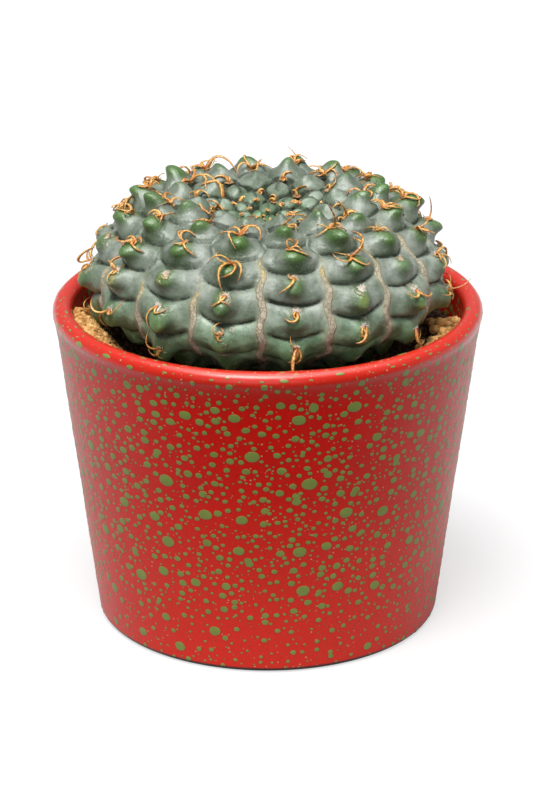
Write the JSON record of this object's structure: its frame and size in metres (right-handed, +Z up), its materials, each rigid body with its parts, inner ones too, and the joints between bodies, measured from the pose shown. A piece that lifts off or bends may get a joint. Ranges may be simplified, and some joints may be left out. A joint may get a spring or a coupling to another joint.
{
  "type": "potted cactus",
  "caption": "Low globe-shaped chin cactus with ribs of pointed tubercles and curled spines, growing in a tapered round pot with a red glaze and green speckles.",
  "frame": {"origin": "centre of the pot's foot, at the surface that it stands on", "axes": "+Z up along the pot's axis, through the plant's crown; -Y is the front"},
  "size_m": [0.135, 0.135, 0.1402],
  "materials": {
    "red_glaze": "satin",
    "potting_soil": "matte",
    "cactus_skin": "satin",
    "spine": "satin",
    "baked_clay": "matte"
  },
  "bodies": {
    "root": {"pot": "red_glaze", "soil": "potting_soil", "cactus_body": "cactus_skin", "spine_cluster_01": "spine", "spine_cluster_02": "spine", "spine_cluster_03": "spine", "spine_cluster_04": "spine", "spine_cluster_05": "spine", "spine_cluster_06": "spine", "spine_cluster_07": "spine", "spine_cluster_08": "spine", "spine_cluster_09": "spine", "spine_cluster_10": "spine", "spine_cluster_11": "spine", "spine_cluster_12": "spine", "spine_cluster_13": "spine", "spine_cluster_14": "spine", "spine_cluster_15": "spine", "spine_cluster_16": "spine", "spine_cluster_17": "spine", "spine_cluster_18": "spine", "spine_cluster_19": "spine", "spine_cluster_20": "spine", "spine_cluster_21": "spine", "spine_cluster_22": "spine", "spine_cluster_23": "spine", "spine_cluster_24": "spine", "spine_cluster_25": "spine", "spine_cluster_26": "spine", "spine_cluster_27": "spine", "spine_cluster_28": "spine", "spine_cluster_29": "spine", "spine_cluster_30": "spine", "spine_cluster_31": "spine", "spine_cluster_32": "spine", "grit_01": "baked_clay", "grit_02": "baked_clay", "grit_03": "baked_clay", "grit_04": "baked_clay", "grit_05": "baked_clay", "grit_06": "baked_clay", "grit_07": "baked_clay", "grit_08": "baked_clay", "grit_09": "baked_clay", "grit_10": "baked_clay", "grit_11": "baked_clay", "grit_12": "baked_clay", "grit_13": "baked_clay", "grit_14": "baked_clay", "grit_15": "baked_clay", "grit_16": "baked_clay", "grit_17": "baked_clay", "grit_18": "baked_clay", "grit_19": "baked_clay", "grit_20": "baked_clay"}
  },
  "joints": []
}
